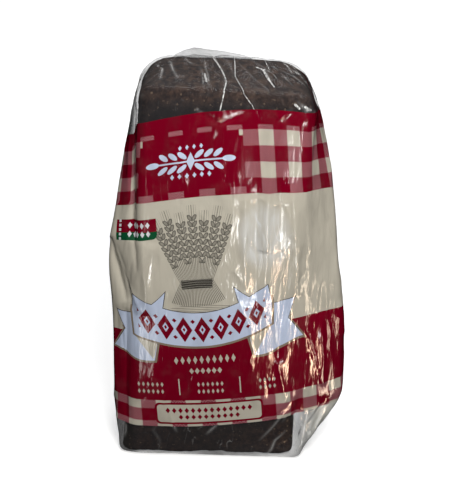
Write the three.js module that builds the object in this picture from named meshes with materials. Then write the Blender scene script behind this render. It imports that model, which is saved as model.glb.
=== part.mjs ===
// A tin loaf of dark rye bread, shut in a printed clear film bag and standing on one end.
// The bag is one closed solid, filled by the loaf: its film lies on the loaf at both ends,
// stands off it in slack sides, is gathered over the top end and tucked down behind.
// Millimetres, +Z up, front of the pack towards -Y, origin at the middle of the box's base.
import * as THREE from "three";

// Driving dimensions
const LOAF_WIDTH = 94;
const LOAF_DEPTH = 80;
const LOAF_HEIGHT = 210;
const LOAF_OFFSET = -1.5; // from the bag's middle line to the loaf's, along x
const BASE_EDGE = 8; // radius of the loaf's two upright edges at the front, its flat base
const CROWN_EDGE = 20; // radius of the two at the back, its domed crust
const END_EDGE = 9; // radius of the top end's edge at the front
const END_CROWN = 15; // and at the back
const LEAN = 0.025; // how far the pack leans to its right for each millimetre of height
const FOOT_EDGE = 3; // radius where the film turns under the foot
const FILM_GAP = 0.8; // between loaf and film where the film lies close
const FILM_ROUND = 352; // the bag's own length round

// How finely the film is divided: points round it, the step between its rings, the angles at
// which the rings turn over the top end's edge, and the rings of the gather and of the tail
const AROUND = 84;
const FILM_STEP = 6.5;
const END_TURNS = [25, 50, 72];
const TENT_RINGS = 9;
const TAIL_RINGS = 12;
const DISC_POINTS = 48; // on each disc that a level section is stretched round
const FACE_POINTS = 16; // along the bulge of the front or the back

// Half-widths of the slack sides, and how far forward their edges lie, against height
const LEFT_REACH = [
  [0, 51],
  [28, 54.8],
  [78, 57.3],
  [113, 60.7],
  [146, 57],
  [183, 51.6],
  [204, 47.5],
  [210, 44.5],
];
const RIGHT_REACH = [
  [0, 49],
  [39, 71.8],
  [82, 68],
  [119, 62.7],
  [156, 57.4],
  [188, 50.6],
  [203, 45.8],
  [210, 39.5],
];
const LEFT_FORWARD = [
  [0, 34],
  [30, 28],
  [110, 26],
  [200, 18],
];
const RIGHT_FORWARD = [
  [0, 38],
  [33, 27],
  [150, 24],
  [200, 16],
];
const SLACK_EDGE = 4; // radius of the slack sides' edges
// How far the front and the back stand off the loaf at their middle, everywhere and with height
const FACE_CROWN = 0.6;
const FACE_BULGE = [
  [0, 0],
  [22, 0.8],
  [100, 3],
  [185, 0.8],
  [200, 0],
];
const END_DOME = 1.5; // the top end's rise from its sides to its middle, at the back
const END_FALL = 4.5; // and its fall from left to right at the front, half as much at the back
const END_REACH = 30; // how far down from the top the two are felt

// Folds of the film: from and to are [round from the front's middle, up], out is the height of
// the fold (negative for a valley) and half its half-width. They fade out over the foot.
const FOLD_FADE = 6;
const FOLD_REACH = 4; // in half-widths, where a fold ends
const FOLDS = [
  { from: [-60, 200], to: [-51, 126], out: -4.5, half: 3.2 },
  { from: [-66, 124], to: [-52, 90], out: -3.2, half: 4 },
  { from: [-38, 126], to: [-40, 84], out: 1.8, half: 7 },
  { from: [26, 182], to: [22, 122], out: 2.2, half: 5 },
  { from: [37, 160], to: [41, 96], out: 2.6, half: 6 },
  { from: [38, 132], to: [33, 58], out: -1.8, half: 3 },
  { from: [56, 84], to: [59, 42], out: 2.4, half: 4 },
  { from: [46, 40], to: [47, 2], out: -2.4, half: 3.4 },
  { from: [-52, 86], to: [-50, 20], out: -2, half: 5 },
  { from: [72, 70], to: [76, 20], out: -2.2, half: 5 },
  { from: [98, 185], to: [92, 96], out: -3, half: 6 },
  { from: [-96, 190], to: [-90, 100], out: -3, half: 6 },
  { from: [-140, 176], to: [-150, 84], out: 2, half: 7 },
  { from: [136, 150], to: [150, 60], out: 2, half: 7 },
];

// The gather over the top end, and the neck tucked down behind as a flat pleated tail: its middle
// line from the waist on, and along it how far it reaches to the left and to the right, the droop
// of its sides, the half-thickness and the pleats' height
const PLEATS = 13;
const PLEAT_DEPTH = 1.8;
const PLEAT_UNEVEN = 1.5; // how unevenly the pleats are spread
const TAIL_PLEATS = 4;
const TAIL_LINE = [
  [-19, 24, 213.8],
  [-19.5, 30, 213.6],
  [-20, 37, 211],
  [-20.2, 42.8, 205.5],
  [-20.2, 45.6, 196],
  [-19, 46, 181],
  [-16, 45.8, 160],
];
const TAIL_LEFT = [
  [0, 10],
  [0.3, 11],
  [0.6, 15],
  [1, 20],
];
const TAIL_RIGHT = [
  [0, 32],
  [0.3, 25],
  [0.6, 20],
  [1, 20],
];
const TAIL_DROOP = [
  [0, 3.4],
  [0.35, 1],
  [0.6, 0],
];
const TAIL_HALF_THICK = [
  [0, 2],
  [0.3, 1.7],
  [0.6, 1.5],
  [1, 0.9],
];
const TAIL_PLEAT_HEIGHT = [
  [0, 0],
  [0.35, 0.3],
  [1, 1.1],
];

// A smooth curve through [at, value] knots that doesn't overshoot them, held level past its ends
function smoothThrough(knots) {
  const secants = knots
    .slice(1)
    .map(([at, value], i) => (value - knots[i][1]) / (at - knots[i][0]));
  const slopes = knots.map((_, i) => {
    const [before, after] = [secants[i - 1] ?? 0, secants[i] ?? 0];
    return before * after > 0
      ? (2 * before * after) / (before + after)
      : 0;
  });
  return (at) => {
    if (at <= knots[0][0]) return knots[0][1];
    const i = knots.findIndex(([next]) => next > at) - 1;
    if (i < 0) return knots.at(-1)[1];
    const [[a, start], [b, end]] = [knots[i], knots[i + 1]];
    const width = b - a;
    const t = (at - a) / width;
    return (
      start * (1 + 2 * t) * (1 - t) ** 2 +
      slopes[i] * width * t * (1 - t) ** 2 +
      end * t * t * (3 - 2 * t) +
      slopes[i + 1] * width * t * t * (t - 1)
    );
  };
}

const leftReach = smoothThrough(LEFT_REACH);
const rightReach = smoothThrough(RIGHT_REACH);
const leftForward = smoothThrough(LEFT_FORWARD);
const rightForward = smoothThrough(RIGHT_FORWARD);
const faceBulge = smoothThrough(FACE_BULGE);

const smoothstep = (low, high, at) => {
  const t = THREE.MathUtils.clamp((at - low) / (high - low), 0, 1);
  return t * t * (3 - 2 * t);
};

// The convex outline of a set of [x, y] points, anticlockwise seen from above
function convexOutline(points) {
  const sorted = [...points].sort((p, q) => p[0] - q[0] || p[1] - q[1]);
  const turn = (o, p, q) =>
    (p[0] - o[0]) * (q[1] - o[1]) - (p[1] - o[1]) * (q[0] - o[0]);
  const chain = (list) => {
    const kept = [];
    for (const p of list) {
      while (kept.length > 1 && turn(kept.at(-2), kept.at(-1), p) <= 0)
        kept.pop();
      kept.push(p);
    }
    return kept.slice(0, -1);
  };
  return [...chain(sorted), ...chain(sorted.reverse())];
}

// Where an outline's edges cross the level [x, y] line y = level, on the side of x given by its sign
function crossing(outline, level, side) {
  for (let i = 0; i < outline.length; i++) {
    const [x, y] = outline[i];
    const [nextX, nextY] = outline[(i + 1) % outline.length];
    if (x * side <= 0 || (y - level) * (nextY - level) > 0 || y === nextY)
      continue;
    const share = (level - y) / (nextY - y);
    return { place: i + share, point: [x + share * (nextX - x), level] };
  }
  throw new Error("the outline doesn't reach that level");
}

// An outline turned a quarter, so that crossing() can look along y as well as along x
const quarterTurned = (points) => points.map(([x, y]) => [-y, x]);

// Points round a closed outline from its front middle: a quarter of them as far as the right
// side's edge, a quarter on to the back's middle, and so on round, evenly spaced in each quarter
function evenlyRound(outline, count, rightLevel, leftLevel) {
  const front = crossing(quarterTurned(outline), 0, 1);
  const back = crossing(quarterTurned(outline), 0, -1);
  const corners = [
    { place: front.place, point: [0, -front.point[0]] },
    crossing(outline, rightLevel, 1),
    { place: back.place, point: [0, -back.point[0]] },
    crossing(outline, leftLevel, -1),
  ];
  return corners.flatMap((from, quarter) => {
    const to = corners[(quarter + 1) % 4];
    const run = [from.point];
    const last = to.place < from.place ? to.place + outline.length : to.place;
    for (let i = Math.floor(from.place) + 1; i < last; i++)
      run.push(outline[i % outline.length]);
    run.push(to.point);
    return evenlyAlong(run, count / 4);
  });
}

// Points evenly spaced along a run of points, the last one left to the next run
function evenlyAlong(run, count) {
  const lengths = [0];
  for (let i = 1; i < run.length; i++)
    lengths.push(
      lengths[i - 1] +
        Math.hypot(run[i][0] - run[i - 1][0], run[i][1] - run[i - 1][1]),
    );
  let i = 0;
  return Array.from({ length: count }, (_, n) => {
    const wanted = (lengths.at(-1) * n) / count;
    while (lengths[i + 1] <= wanted) i++;
    const t = (wanted - lengths[i]) / (lengths[i + 1] - lengths[i]);
    return run[i].map((value, axis) => value + t * (run[i + 1][axis] - value));
  });
}

// How far a rounded edge has turned in, at a distance past where the rounding starts
const roundedIn = (radius, past) =>
  past > 0 ? radius - Math.sqrt(radius ** 2 - past ** 2) : 0;

// The film's level section at a height: taut round the loaf's edges, both slack sides, and the
// slight bulge of the front and the back
function filmSection(height) {
  const footInset = roundedIn(FOOT_EDGE, FOOT_EDGE - height);
  const frontInset = roundedIn(END_EDGE, height - LOAF_HEIGHT + END_EDGE) + footInset;
  const backInset = roundedIn(END_CROWN, height - LOAF_HEIGHT + END_CROWN) + footInset;
  const halfWidth = LOAF_WIDTH / 2;
  const halfDepth = LOAF_DEPTH / 2;
  const left = leftReach(height) - SLACK_EDGE;
  const right = rightReach(height) - SLACK_EDGE;
  const discs = [
    [BASE_EDGE - halfWidth, BASE_EDGE - halfDepth, BASE_EDGE - frontInset],
    [halfWidth - BASE_EDGE, BASE_EDGE - halfDepth, BASE_EDGE - frontInset],
    [CROWN_EDGE - halfWidth, halfDepth - CROWN_EDGE, CROWN_EDGE - backInset],
    [halfWidth - CROWN_EDGE, halfDepth - CROWN_EDGE, CROWN_EDGE - backInset],
  ].map(([x, y, radius]) => [x + LOAF_OFFSET, y, radius]);
  discs.push(
    [-left, -leftForward(height), SLACK_EDGE - footInset],
    [right, -rightForward(height), SLACK_EDGE - footInset],
  );
  const points = [];
  for (const [x, y, radius] of discs)
    for (let turn = 0; turn < DISC_POINTS; turn++) {
      const angle = (turn / DISC_POINTS) * 2 * Math.PI;
      const reach = radius + FILM_GAP;
      points.push([x + reach * Math.cos(angle), y + reach * Math.sin(angle)]);
    }
  for (let step = 0; step <= FACE_POINTS; step++) {
    const across = (2 * step) / FACE_POINTS - 1;
    const bulge = (FACE_CROWN + faceBulge(height)) * (1 - across ** 2);
    const front = halfDepth + FILM_GAP - frontInset + bulge;
    const back = halfDepth + FILM_GAP - backInset + bulge;
    points.push([LOAF_OFFSET + across * (halfWidth - BASE_EDGE), -front]);
    points.push([LOAF_OFFSET + across * (halfWidth - CROWN_EDGE), back]);
  }
  return evenlyRound(
    convexOutline(points),
    AROUND,
    -rightForward(height),
    -leftForward(height),
  );
}

// How far the folds push the film out at a place on it
function foldsAt(round, up) {
  let out = 0;
  for (const { from, to, out: height, half } of FOLDS) {
    const [dx, dy] = [to[0] - from[0], to[1] - from[1]];
    const [px, py] = [round - from[0], up - from[1]];
    const length = Math.hypot(dx, dy);
    const along = (px * dx + py * dy) / length ** 2;
    const aside = Math.abs(px * dy - py * dx) / length / half;
    if (along <= 0 || along >= 1 || aside > FOLD_REACH) continue;
    const taper = Math.sqrt(Math.sin(Math.PI * along));
    out += height * taper * (Math.exp(-1.3 * aside) - Math.exp(-1.3 * FOLD_REACH));
  }
  return out * smoothstep(0, FOLD_FADE, up);
}

// The level rings of the film from the foot to the top end's edge, folds included
function bodyRings() {
  const heights = [0, 0.3 * FOOT_EDGE, FOOT_EDGE];
  const straight = LOAF_HEIGHT - END_EDGE - FOOT_EDGE;
  const steps = Math.round(straight / FILM_STEP);
  for (let i = 1; i <= steps; i++)
    heights.push(FOOT_EDGE + (straight * i) / steps);
  for (const turn of END_TURNS)
    heights.push(
      LOAF_HEIGHT - END_EDGE * (1 - Math.sin(THREE.MathUtils.degToRad(turn))),
    );
  return heights.map((height) => {
    const flat = filmSection(height);
    const lengths = [0];
    for (let i = 0; i < AROUND; i++) {
      const [from, to] = [flat[i], flat[(i + 1) % AROUND]];
      lengths.push(lengths[i] + Math.hypot(to[0] - from[0], to[1] - from[1]));
    }
    return flat.map(([x, y], i) => {
      const before = flat[(i + AROUND - 1) % AROUND];
      const after = flat[(i + 1) % AROUND];
      const along = [after[0] - before[0], after[1] - before[1]];
      const size = Math.hypot(...along);
      const share = lengths[i] / lengths[AROUND];
      const round = FILM_ROUND * (share > 0.5 ? share - 1 : share);
      const out = foldsAt(round, height);
      const domed = smoothstep(LOAF_HEIGHT - END_REACH, LOAF_HEIGHT, height);
      const across = (x - LOAF_OFFSET) / LOAF_WIDTH;
      const dome = (1 - (2 * across) ** 2) * (0.5 + y / LOAF_DEPTH);
      const fall = across * (0.75 - (0.5 * y) / LOAF_DEPTH);
      const rise = END_DOME * dome - END_FALL * fall;
      return new THREE.Vector3(
        x + (out * along[1]) / size,
        y - (out * along[0]) / size,
        height + rise * domed,
      );
    });
  });
}

// The gathered film from the top end's edge to the waist, pleated more and more
function tentRings(edge, waist) {
  return Array.from({ length: TENT_RINGS }, (_, n) => {
    const share = (n + 1) / (TENT_RINGS + 1);
    return edge.map((point, i) => {
      const turned = (i / AROUND) * 2 * Math.PI;
      const uneven = PLEAT_UNEVEN * Math.sin(turned * 2);
      const pleat = Math.sin(PLEATS * turned + uneven);
      const drawn = point.clone().lerp(waist[i], share);
      drawn.z += PLEAT_DEPTH * pleat * smoothstep(0, 0.5, share) * (1 - share);
      return drawn;
    });
  });
}

// The rings of the tail from the waist to its flat end
function tailRings() {
  const line = new THREE.CatmullRomCurve3(
    TAIL_LINE.map((p) => new THREE.Vector3(...p)),
  );
  const [toLeft, toRight] = [smoothThrough(TAIL_LEFT), smoothThrough(TAIL_RIGHT)];
  const droop = smoothThrough(TAIL_DROOP);
  const halfThick = smoothThrough(TAIL_HALF_THICK);
  const pleatHeight = smoothThrough(TAIL_PLEAT_HEIGHT);
  const right = new THREE.Vector3(1, 0, 0);
  return Array.from({ length: TAIL_RINGS + 1 }, (_, n) => {
    const share = n / TAIL_RINGS;
    const middle = line.getPointAt(share);
    const away = right.clone().cross(line.getTangentAt(share)).normalize();
    return Array.from({ length: AROUND }, (_, i) => {
      const turned = (i / AROUND) * 2 * Math.PI;
      const aside = Math.sin(turned);
      const reach = aside < 0 ? toLeft(share) : toRight(share);
      const pleat =
        pleatHeight(share) * Math.cos(TAIL_PLEATS * Math.PI * (aside + 1));
      const lift = halfThick(share) * Math.cos(turned) + pleat;
      return middle
        .clone()
        .addScaledVector(right, reach * aside)
        .addScaledVector(away, lift - droop(share) * Math.abs(aside));
    });
  });
}

// A closed body from a stack of rings that turn anticlockwise seen from their far end
function stackRings(rings) {
  const count = rings[0].length;
  const middle = (ring) =>
    ring
      .reduce((sum, p) => sum.add(p), new THREE.Vector3())
      .divideScalar(count);
  const points = [...rings.flat(), middle(rings[0]), middle(rings.at(-1))];
  const faces = [];
  for (let r = 0; r + 1 < rings.length; r++)
    for (let i = 0; i < count; i++) {
      const next = (i + 1) % count;
      const [a, b] = [r * count + i, r * count + next];
      const [c, d] = [a + count, b + count];
      faces.push(a, b, d, a, d, c);
    }
  const lastRing = (rings.length - 1) * count;
  const [footMiddle, topMiddle] = [points.length - 2, points.length - 1];
  for (let i = 0; i < count; i++) {
    const next = (i + 1) % count;
    faces.push(footMiddle, next, i);
    faces.push(topMiddle, lastRing + i, lastRing + next);
  }
  const geometry = new THREE.BufferGeometry();
  geometry.setAttribute(
    "position",
    new THREE.Float32BufferAttribute(points.flatMap((p) => p.toArray()), 3),
  );
  geometry.setIndex(faces);
  return geometry;
}

const printedFilm = new THREE.MeshStandardMaterial({
  color: new THREE.Color(0.52, 0.05, 0.1),
  roughness: 0.3,
  metalness: 0,
});

const body = bodyRings();
const tail = tailRings();
const tent = tentRings(body.at(-1), tail[0]);
const geometry = stackRings([...body, ...tent, ...tail]);
geometry.applyMatrix4(new THREE.Matrix4().makeShear(0, 0, 0, 0, LEAN, 0));
geometry.computeVertexNormals();
geometry.computeBoundingBox();
const box = geometry.boundingBox;
const baggedLoaf = new THREE.Mesh(geometry, printedFilm);
baggedLoaf.name = "bagged_loaf";
baggedLoaf.position.set(
  -(box.min.x + box.max.x) / 2,
  -(box.min.y + box.max.y) / 2,
  -box.min.z,
);

const pack = new THREE.Group();
pack.add(baggedLoaf);

export default pack;
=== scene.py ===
"""Looks of a tin loaf of dark rye bread shut in a printed clear film bag, standing on one end.

Shapes are worked out in millimetres in the loaf's own frame: +Z up the loaf's axis, front towards
-Y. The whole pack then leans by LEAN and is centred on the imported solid.
"""
import itertools
import math
from functools import partialmethod

import bpy
import numpy as np
from mathutils import Matrix, Vector
from mathutils.bvhtree import BVHTree


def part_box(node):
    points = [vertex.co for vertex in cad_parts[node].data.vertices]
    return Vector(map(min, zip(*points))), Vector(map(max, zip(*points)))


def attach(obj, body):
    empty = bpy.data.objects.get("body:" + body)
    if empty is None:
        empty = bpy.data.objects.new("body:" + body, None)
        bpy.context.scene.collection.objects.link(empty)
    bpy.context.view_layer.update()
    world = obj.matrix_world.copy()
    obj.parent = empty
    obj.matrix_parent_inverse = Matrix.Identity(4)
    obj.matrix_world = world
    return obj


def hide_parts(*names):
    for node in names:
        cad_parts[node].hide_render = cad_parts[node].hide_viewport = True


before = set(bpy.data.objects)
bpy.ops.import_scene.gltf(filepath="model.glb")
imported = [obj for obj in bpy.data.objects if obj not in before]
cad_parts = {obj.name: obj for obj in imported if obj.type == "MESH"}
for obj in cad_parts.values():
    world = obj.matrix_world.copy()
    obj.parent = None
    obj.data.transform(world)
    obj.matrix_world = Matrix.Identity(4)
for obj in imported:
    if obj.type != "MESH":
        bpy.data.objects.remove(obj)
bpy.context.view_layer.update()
MM = 0.001

# The loaf and the bag, the same driving dimensions as the solid's
LOAF_WIDTH = 94
LOAF_DEPTH = 80
LOAF_HEIGHT = 210
LOAF_OFFSET = -1.5
BASE_EDGE = 8
CROWN_EDGE = 20
END_EDGE = 9
END_CROWN = 15
LEAN = 0.025
FOOT_EDGE = 3
FILM_GAP = 0.8
FILM_ROUND = 352
SLACK_EDGE = 4
LEFT_REACH = [
    [0, 51], [28, 54.8], [78, 57.3], [113, 60.7], [146, 57], [183, 51.6], [204, 47.5], [210, 44.5],
]
RIGHT_REACH = [
    [0, 49], [39, 71.8], [82, 68], [119, 62.7], [156, 57.4], [188, 50.6], [203, 45.8], [210, 39.5],
]
LEFT_FORWARD = [[0, 34], [30, 28], [110, 26], [200, 18]]
RIGHT_FORWARD = [[0, 38], [33, 27], [150, 24], [200, 16]]
FACE_CROWN = 0.6
FACE_BULGE = [[0, 0], [22, 0.8], [100, 3], [185, 0.8], [200, 0]]
END_DOME = 1.5
END_FALL = 4.5
END_REACH = 30

# Main folds of the film: from and to are [round, up], out is the fold's height, half its half-width
FOLD_FADE = 6
FOLD_REACH = 4
FOLD_DECAY = 1.3
FOLDS = [
    ((-60, 200), (-51, 126), -4.5, 3.2),
    ((-66, 124), (-52, 90), -3.2, 4),
    ((-38, 126), (-40, 84), 1.8, 7),
    ((26, 182), (22, 122), 2.2, 5),
    ((37, 160), (41, 96), 2.6, 6),
    ((38, 132), (33, 58), -1.8, 3),
    ((56, 84), (59, 42), 2.4, 4),
    ((46, 40), (47, 2), -2.4, 3.4),
    ((-52, 86), (-50, 20), -2, 5),
    ((72, 70), (76, 20), -2.2, 5),
    ((98, 185), (92, 96), -3, 6),
    ((-96, 190), (-90, 100), -3, 6),
    ((-140, 176), (-150, 84), 2, 7),
    ((136, 150), (150, 60), 2, 7),
]

# The gather over the top end and the tail tucked down behind
PLEATS = 13
PLEAT_DEPTH = 1.8
PLEAT_UNEVEN = 1.5
TAIL_PLEATS = 4
TAIL_LINE = [
    [-19, 24, 213.8],
    [-19.5, 30, 213.6],
    [-20, 37, 211],
    [-20.2, 42.8, 205.5],
    [-20.2, 45.6, 196],
    [-19, 46, 181],
    [-16, 45.8, 160],
]
TAIL_LEFT = [[0, 10], [0.3, 11], [0.6, 15], [1, 20]]
TAIL_RIGHT = [[0, 32], [0.3, 25], [0.6, 20], [1, 20]]
TAIL_DROOP = [[0, 3.4], [0.35, 1], [0.6, 0]]
TAIL_HALF_THICK = [[0, 2], [0.3, 1.7], [0.6, 1.5], [1, 0.9]]
TAIL_PLEAT_HEIGHT = [[0, 0], [0.35, 0.3], [1, 1.1]]

# How finely the visible film is divided
AROUND = 320
HALF_WAY = AROUND // 2
FOOT_HEIGHTS = (0, 0.3, 0.9, 1.8)
BODY_RINGS = 182
END_TURNS = (12, 24, 36, 48, 60, 72)
TENT_RINGS = 46
TAIL_RINGS = 40
DISC_POINTS = 96
FACE_POINTS = 32
CURVE_STEPS = 60


def hermite(t, start, leaving, end, arriving):
    """A cubic from start to end, with its slopes at both, for t from 0 to 1"""
    return (
        start * (1 + 2 * t) * (1 - t) ** 2
        + leaving * t * (1 - t) ** 2
        + end * t * t * (3 - 2 * t)
        + arriving * t * t * (t - 1)
    )


def smooth_through(knots):
    """A smooth curve through [at, value] knots that doesn't overshoot them, held level past its ends"""
    at, value = np.array(knots, float).T
    secants = np.diff(value) / np.diff(at)
    slopes = np.zeros(len(at))
    for i, (before, after) in enumerate(zip(secants, secants[1:]), 1):
        slopes[i] = 2 * before * after / (before + after) if before * after > 0 else 0

    def curve(where):
        where = np.clip(where, at[0], at[-1])
        i = np.clip(np.searchsorted(at, where, side="right") - 1, 0, len(at) - 2)
        width = at[i + 1] - at[i]
        t = (where - at[i]) / width
        return hermite(t, value[i], slopes[i] * width, value[i + 1], slopes[i + 1] * width)

    return curve


def smoothstep(low, high, at):
    t = np.clip((at - low) / (high - low), 0, 1)
    return t * t * (3 - 2 * t)


LATTICE = 32


def lattice_noise(points, size, seed):
    """Smooth noise between -1 and 1 over [x, y, z] points, with features about size wide"""
    table = np.random.default_rng(seed).uniform(-1, 1, (LATTICE, LATTICE, LATTICE))
    cell = points / size
    low = np.floor(cell).astype(int)
    share = cell - low
    share = share * share * (3 - 2 * share)
    total = np.zeros(points.shape[:-1])
    for corner in itertools.product((0, 1), repeat=3):
        weight = np.prod(np.where(corner, share, 1 - share), axis=-1)
        x, y, z = np.moveaxis((low + corner) % LATTICE, -1, 0)
        total += weight * table[x, y, z]
    return total


def convex_outline(points):
    """The convex outline of a set of [x, y] points, anticlockwise seen from above"""
    points = sorted(map(tuple, points))

    def chain(run):
        kept = []
        for p in run:
            while len(kept) > 1:
                (ox, oy), (qx, qy) = kept[-2:]
                if (qx - ox) * (p[1] - oy) - (qy - oy) * (p[0] - ox) > 0:
                    break
                kept.pop()
            kept.append(p)
        return kept[:-1]

    return np.array(chain(points) + chain(points[::-1]))


def crossing(outline, axis, level, side):
    """Where the outline crosses a level line on one side: its place along the outline"""
    other = 1 - axis
    following = np.roll(outline, -1, axis=0)
    here, there = outline[:, axis] - level, following[:, axis] - level
    for i in np.nonzero((here * there <= 0) & (here != there))[0]:
        share = here[i] / (here[i] - there[i])
        if side * (outline[i, other] + share * (following[i, other] - outline[i, other])) > 0:
            return i + share
    raise ValueError("the outline doesn't reach that level")


def evenly_round(outline, count, right_level, left_level):
    """Points round an outline from its front middle, a quarter of them between each two anchors"""
    lengths = np.linalg.norm(np.roll(outline, -1, axis=0) - outline, axis=1)
    ends = np.concatenate([[0], np.cumsum(lengths)])
    closed = np.vstack([outline, outline[:1]])
    anchors = [
        crossing(outline, 0, 0, -1),
        crossing(outline, 1, right_level, 1),
        crossing(outline, 0, 0, 1),
        crossing(outline, 1, left_level, -1),
    ]
    stops = [ends[int(place)] + (place % 1) * lengths[int(place)] for place in anchors]
    wanted = []
    for start, stop in zip(stops, stops[1:] + stops[:1]):
        stop = stop if stop > start else stop + ends[-1]
        wanted.append(start + (stop - start) * np.arange(count // 4) / (count // 4))
    wanted = np.concatenate(wanted) % ends[-1]
    return np.column_stack([np.interp(wanted, ends, closed[:, axis]) for axis in (0, 1)])


def rounded_in(radius, past):
    """How far a rounded edge has turned in, at a distance past where the rounding starts"""
    return radius - math.sqrt(radius**2 - past**2) if past > 0 else 0


def disc_points(discs):
    turned = np.arange(DISC_POINTS) / DISC_POINTS * 2 * math.pi
    rim = np.column_stack([np.cos(turned), np.sin(turned)])
    return np.vstack([np.array([x, y]) + radius * rim for x, y, radius in discs])


def corner_discs(front_inset, back_inset, grown):
    """The discs in a level section's four corners: [x, y, radius]"""
    discs = []
    for edge, away, inset in ((BASE_EDGE, -1, front_inset), (CROWN_EDGE, 1, back_inset)):
        radius = max(edge - inset + grown, 0)
        for side in (1, -1):
            x = LOAF_OFFSET + side * (LOAF_WIDTH / 2 - edge)
            discs.append((x, away * (LOAF_DEPTH / 2 - edge), radius))
    return discs


left_reach = smooth_through(LEFT_REACH)
right_reach = smooth_through(RIGHT_REACH)
left_forward = smooth_through(LEFT_FORWARD)
right_forward = smooth_through(RIGHT_FORWARD)
face_bulge = smooth_through(FACE_BULGE)


def film_section(height):
    """The film's level section: taut round the loaf's edges, slack sides, bulging front and back"""
    foot_inset = rounded_in(FOOT_EDGE, FOOT_EDGE - height)
    front_inset = rounded_in(END_EDGE, height - LOAF_HEIGHT + END_EDGE) + foot_inset
    back_inset = rounded_in(END_CROWN, height - LOAF_HEIGHT + END_CROWN) + foot_inset
    slack = SLACK_EDGE - foot_inset + FILM_GAP
    sides = [
        (SLACK_EDGE - left_reach(height), -left_forward(height), slack),
        (right_reach(height) - SLACK_EDGE, -right_forward(height), slack),
    ]
    across = np.linspace(-1, 1, FACE_POINTS + 1)
    bulge = (FACE_CROWN + face_bulge(height)) * (1 - across**2) + FILM_GAP + LOAF_DEPTH / 2
    half_width = LOAF_WIDTH / 2
    points = np.vstack(
        [
            disc_points(corner_discs(front_inset, back_inset, FILM_GAP) + sides),
            np.column_stack([LOAF_OFFSET + across * (half_width - BASE_EDGE), front_inset - bulge]),
            np.column_stack([LOAF_OFFSET + across * (half_width - CROWN_EDGE), bulge - back_inset]),
        ]
    )
    return evenly_round(convex_outline(points), AROUND, -right_forward(height), -left_forward(height))


def end_rise(points):
    """How far the top end's dome and fall lift a level section's points"""
    x, y, height = np.moveaxis(points, -1, 0)
    across = (x - LOAF_OFFSET) / LOAF_WIDTH
    dome = END_DOME * (1 - (2 * across) ** 2) * (0.5 + y / LOAF_DEPTH)
    fall = END_FALL * across * (0.75 - 0.5 * y / LOAF_DEPTH)
    return (dome - fall) * smoothstep(LOAF_HEIGHT - END_REACH, LOAF_HEIGHT, height)


def folds_at(around, up):
    """How far the main folds push the film out at a place on it"""
    out = np.zeros(np.shape(around))
    edge = math.exp(-FOLD_DECAY * FOLD_REACH)
    for start, stop, height, half in FOLDS:
        dx, dy = stop[0] - start[0], stop[1] - start[1]
        px, py = around - start[0], up - start[1]
        length = math.hypot(dx, dy)
        along = np.clip((px * dx + py * dy) / length**2, 0, 1)
        aside = np.minimum(np.abs(px * dy - py * dx) / length / half, FOLD_REACH)
        out += height * np.sqrt(np.sin(np.pi * along)) * (np.exp(-FOLD_DECAY * aside) - edge)
    return out * smoothstep(0, FOLD_FADE, up)


def body_rings():
    """The film's rings from the foot to the top end's edge, and how far round each point lies"""
    straight = np.linspace(FOOT_EDGE, LOAF_HEIGHT - END_EDGE, BODY_RINGS)
    turns = [LOAF_HEIGHT - END_EDGE * (1 - math.sin(math.radians(turn))) for turn in END_TURNS]
    heights = [*FOOT_HEIGHTS, *straight, *turns]
    rings, rounds = [], []
    for height in heights:
        flat = film_section(height)
        steps = np.linalg.norm(np.roll(flat, -1, axis=0) - flat, axis=1)
        lengths = np.concatenate([[0], np.cumsum(steps)])
        share = lengths[:-1] / lengths[-1]
        out = folds_at(FILM_ROUND * (share - (share > 0.5)), height)
        along = np.roll(flat, -1, axis=0) - np.roll(flat, 1, axis=0)
        along /= np.linalg.norm(along, axis=1)[:, None]
        moved = flat + out[:, None] * np.column_stack([along[:, 1], -along[:, 0]])
        ring = np.column_stack([moved, np.full(AROUND, height)])
        ring[:, 2] += end_rise(np.column_stack([flat, ring[:, 2]]))
        rings.append(ring)
        rounds.append(lengths)
    return np.array(rings), np.array(rounds)


def tent_rings(edge, waist):
    """The gathered film from the top end's edge to the waist, pleated more and more"""
    turned = np.arange(AROUND) / AROUND * 2 * math.pi
    pleat = np.sin(PLEATS * turned + PLEAT_UNEVEN * np.sin(2 * turned))
    rings = []
    for n in range(TENT_RINGS):
        share = (n + 1) / (TENT_RINGS + 1)
        ring = edge + share * (waist - edge)
        ring[:, 2] += PLEAT_DEPTH * pleat * smoothstep(0, 0.5, share) * (1 - share)
        rings.append(ring)
    return np.array(rings)


def centripetal(points, count):
    """Evenly spaced places and directions along a smooth curve through the points"""
    points = np.array(points, float)
    ends = np.vstack([2 * points[0] - points[1], points, 2 * points[-1] - points[-2]])
    places = []
    t = np.linspace(0, 1, CURVE_STEPS, endpoint=False)[:, None]
    for p0, p1, p2, p3 in zip(ends, ends[1:], ends[2:], ends[3:]):
        gaps = [np.linalg.norm(b - a) ** 0.5 for a, b in ((p0, p1), (p1, p2), (p2, p3))]
        knots = np.cumsum([0] + gaps)
        before = (p1 - p0) / knots[1] - (p2 - p0) / knots[2] + (p2 - p1) / (knots[2] - knots[1])
        after = (p2 - p1) / (knots[2] - knots[1]) - (p3 - p1) / (knots[3] - knots[1])
        after = after + (p3 - p2) / (knots[3] - knots[2])
        width = knots[2] - knots[1]
        places.append(hermite(t, p1, before * width, p2, after * width))
    places = np.vstack(places + [points[-1:]])
    lengths = np.concatenate([[0], np.cumsum(np.linalg.norm(np.diff(places, axis=0), axis=1))])
    wanted = np.linspace(0, lengths[-1], count)
    spaced = np.column_stack([np.interp(wanted, lengths, places[:, axis]) for axis in range(3)])
    directions = np.gradient(spaced, axis=0)
    return spaced, directions / np.linalg.norm(directions, axis=1)[:, None]


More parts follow.
